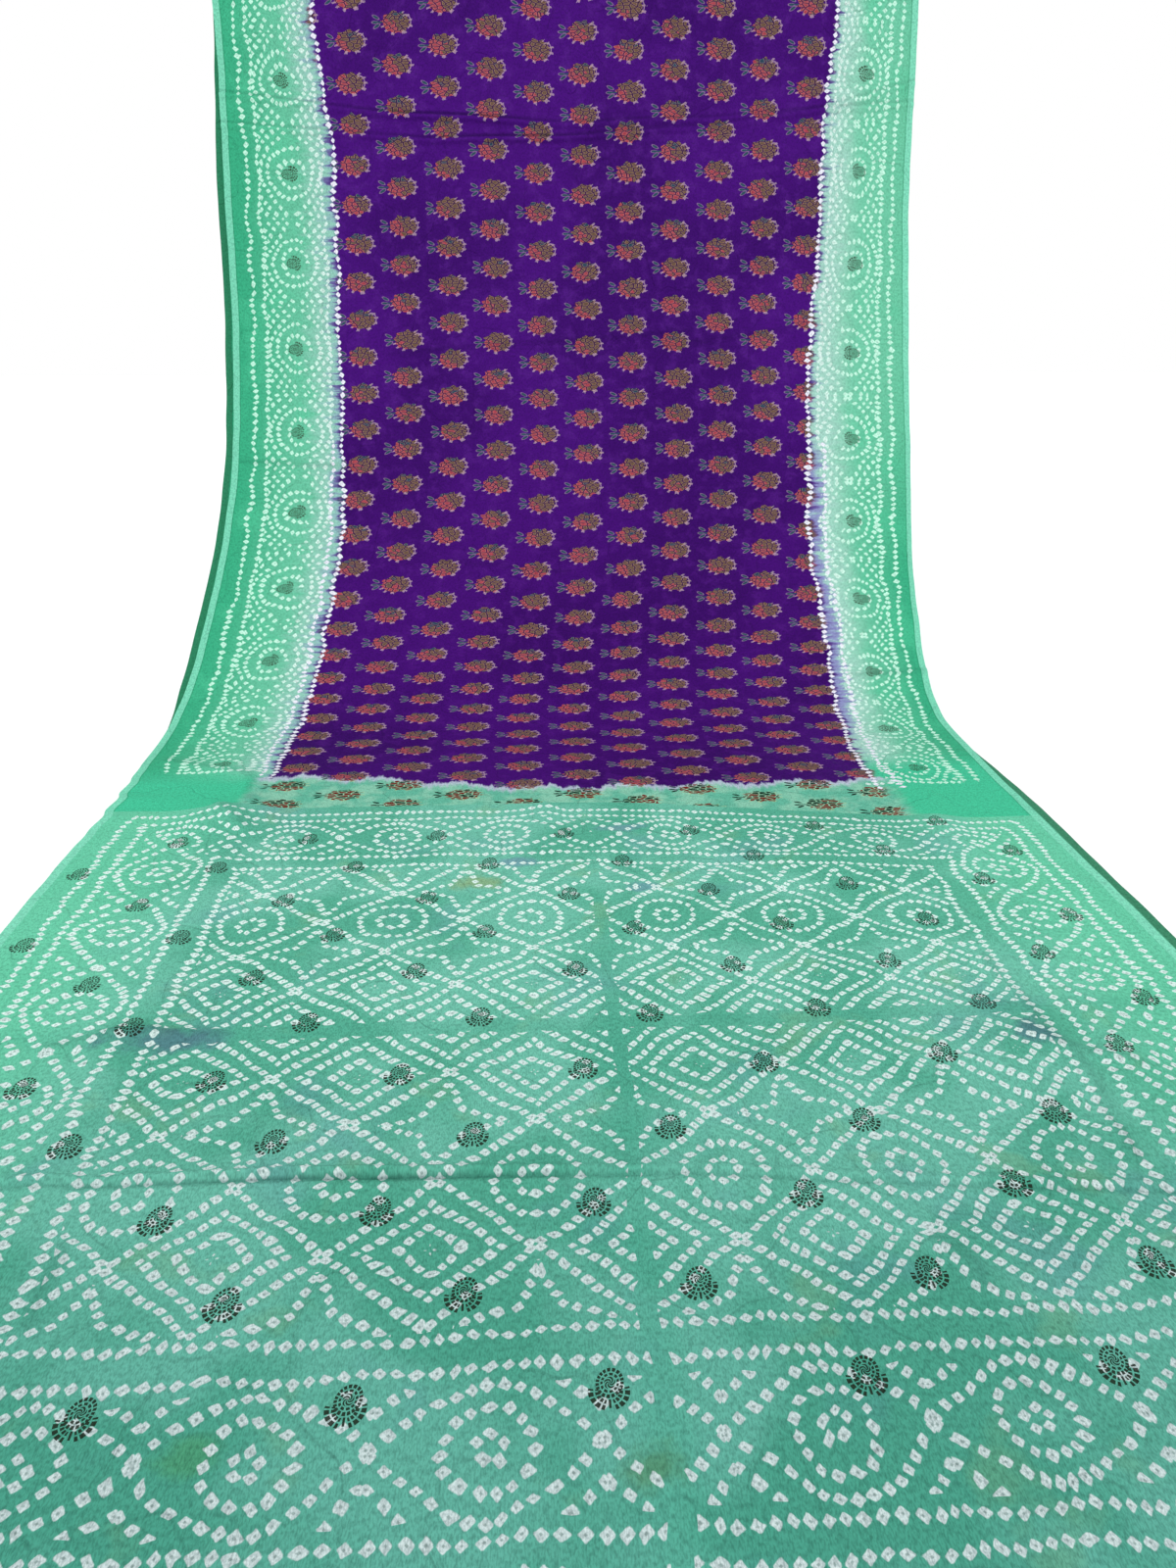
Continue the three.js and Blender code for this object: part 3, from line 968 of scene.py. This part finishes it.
# Stains on the decorated end: across, along, half sizes, colour, strength
STAINS = [
    (-0.345, 1.936, 0.052, 0.016, srgb(78, 110, 128), 0.75),
    (0.362, 1.968, 0.020, 0.020, srgb(78, 110, 128), 0.70),
    (-0.106, 1.682, 0.034, 0.014, srgb(146, 160, 96), 0.55),
    (0.012, 2.312, 0.016, 0.014, srgb(74, 118, 74), 0.60),
    (-0.228, 2.290, 0.018, 0.012, srgb(70, 140, 92), 0.55),
    (-0.060, 1.640, 0.030, 0.010, srgb(112, 132, 168), 0.55),
    (0.060, 1.560, 0.030, 0.010, srgb(116, 140, 172), 0.50),
    (0.070, 1.700, 0.018, 0.010, srgb(104, 132, 164), 0.50),
]


# The decorated end: the bare channel between its two halves, its middle and its far and near lines
SPLIT_AT = 0.0215
END_MIDDLE = 1.930
END_FAR_LINE = 1.507
END_NEAR_LINE = 2.360
EGG_FIRST_ROW = 1.570
EGG_ROW = 0.0695


def end_dots(finish, across, along, v):
    """The dotted frame and lattice, on places that lean a little as the real ones do."""
    peak = 0.012 * finish.smooth(abs(across + 0.030), 0.034, 0.0) * finish.smooth(v, 1.62, 1.52)
    straight = along + peak - 0.068 * finish.smooth(across, -0.02, 0.50) * finish.smooth(v, 1.95, 1.50)
    at_right = across > 0.0
    inward = (HALF_WIDTH - abs(across) - 0.038 + 0.004 * at_right) * (0.87 + 0.09 * at_right)
    lengthways = least(straight - END_FAR_LINE, END_NEAR_LINE - straight)
    frame_across = least(inward, lengthways)
    w = abs(across - SPLIT_AT) * (1 + 0.083 * (across > SPLIT_AT))
    h = straight - END_MIDDLE
    frame_along = w - 0.096 + (inward < lengthways) * (straight - 1.640 - w + 0.096)
    frame = frame_dots(frame_across, frame_along)
    frame = frame + CLEAR * (frame_across > 0.139) + CLEAR * (frame_across < -0.006)
    lattice = lattice_dots(w, abs(h), h > 0.0)
    lattice = lattice + CLEAR * (frame_across < 0.1395) + CLEAR * (abs(h) < 0.009)
    return least(frame, lattice) + CLEAR * (w < 0.0060) * (v > 1.640), h


def lay_stains(finish, ground, point, u, v):
    blot = finish.noise(point, 42.0, 3.0, 0.6) - 0.5
    for at_u, at_v, half_u, half_v, colour, strength in STAINS:
        far = hypot((u - at_u) / half_u, (v - at_v) / half_v) + 1.6 * blot
        ground = finish.dye(finish.smooth(far, 1.3, 0.3) * strength, ground, colour)
    return ground


def lay_end_eggs(finish, ground, u, v):
    row = nearest(v - EGG_FIRST_ROW, EGG_ROW)
    half = (row / EGG_ROW).maths("PINGPONG", 1.0)
    x = fold_to(u + 0.0085 - 0.0600 * half, 0.143)
    egg = block_egg(x, v - EGG_FIRST_ROW - row) * (v > 1.535) * (v < 2.300)
    return finish.dye(egg * 0.95, ground, srgb(30, 38, 26))


def end_finish(selvedge_colour):
    """The decorated end: sea green with a dotted frame, lattice and small dark prints."""
    finish = Finish("dyed_decorated_end", 0.75)
    u, v, point = finish.cloth_map()
    edge = HALF_WIDTH - abs(u)
    across, along = warped(finish, u, v, point)
    dots, h = end_dots(finish, across, along, v)
    ground = green_ground(finish, point, v, finish.smooth(edge, 0.20, 0.05) * 0.85)
    channel = most(finish.smooth(abs(u - SPLIT_AT), 0.024, 0.004), 0.5 * finish.smooth(abs(h), 0.016, 0.004))
    ground = finish.dye(channel * finish.smooth(v, 1.70, 2.00) * 0.40, ground, srgb(70, 158, 134))
    ground = lay_stains(finish, ground, point, u, v)
    # Painted shade: the dots are darker towards the near end, like the ground.
    white = finish.dye(finish.smooth(v, 1.70, 2.30), srgb(228, 250, 243), srgb(198, 212, 212))
    ground = lay_dots(finish, ground, dots, point, white, 0.94, 0.55)
    ground = lay_end_eggs(finish, ground, u, v)
    ground = lay_selvedge(finish, ground, edge, selvedge_colour, 0.85)
    finish_cloth(finish, ground, point)
    return finish.material


def dress(piece, material):
    """Everything that a finished length of the cloth is told."""
    piece.data.materials.append(material)
    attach(piece, "root")
    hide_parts("sari_cloth")


def make_floor():
    mesh = bmesh.new()
    bmesh.ops.create_grid(mesh, x_segments=1, y_segments=1, size=9.0)
    data = bpy.data.meshes.new("studio_floor")
    mesh.to_mesh(data)
    mesh.free()
    floor = bpy.data.objects.new("studio_floor", data)
    bpy.context.collection.objects.link(floor)
    finish = Finish("floor_white", 0.9)
    finish.feed(finish.shader.inputs["Base Color"], (0.92, 0.92, 0.92, 1.0))
    data.materials.append(finish.material)


def make_sun(name, come_from, softness, strength):
    data = bpy.data.lights.new(name, "SUN")
    data.angle = math.radians(softness)
    data.energy = strength
    lamp = bpy.data.objects.new(name, data)
    lamp.rotation_euler = Vector(come_from).to_track_quat("Z", "Y").to_euler()
    bpy.context.collection.objects.link(lamp)


def make_camera():
    data = bpy.data.cameras.new("photo_view")
    data.sensor_fit = "VERTICAL"
    data.sensor_height = 36.0
    data.lens = 24.98
    camera = bpy.data.objects.new("photo_view", data)
    camera.location = (-0.0664, -1.1322, 0.552)
    camera.rotation_euler = (math.radians(90 - 23.7), 0.0, math.radians(-3.2))
    bpy.context.collection.objects.link(camera)
    bpy.context.scene.camera = camera


make_camera()
make_floor()
make_sun("soft_key", (-0.42, -1.6, 2.05), 20.0, 1.16)
world = bpy.data.worlds.new("studio_light")
bpy.context.scene.world = world
world.use_nodes = True
world.node_tree.nodes["Background"].inputs["Color"].default_value = (1.0, 1.0, 1.0, 1.0)
world.node_tree.nodes["Background"].inputs["Strength"].default_value = 1.0
bpy.context.scene.view_settings.view_transform = "Standard"

PALE_SELVEDGE = srgb(128, 214, 184)
body_dye = hang_finish("dyed_body", PALE_SELVEDGE)
# The under layer's copy of the body finish, with its selvedge band painted dark green as shade, since that
# layer lies in the shadow of the upper one.
under_shaded_dye = hang_finish("dyed_body_below_painted_shade", srgb(40, 112, 78))
end_dye = end_finish(PALE_SELVEDGE)
hang = cloth_sheet("sari_upper_hang", hang_place, 140, HANG_ROWS)
end = cloth_sheet("sari_decorated_end", end_place, 146, END_ROWS)
under_hang = cloth_sheet("sari_under_hang", under_place, 92, UNDER_HANG_ROWS, False)
under_floor = cloth_sheet("sari_under_floor", under_place, 92, UNDER_FLOOR_ROWS, False)
dress(hang, body_dye)
dress(under_hang, under_shaded_dye)
dress(under_floor, under_shaded_dye)
dress(end, end_dye)
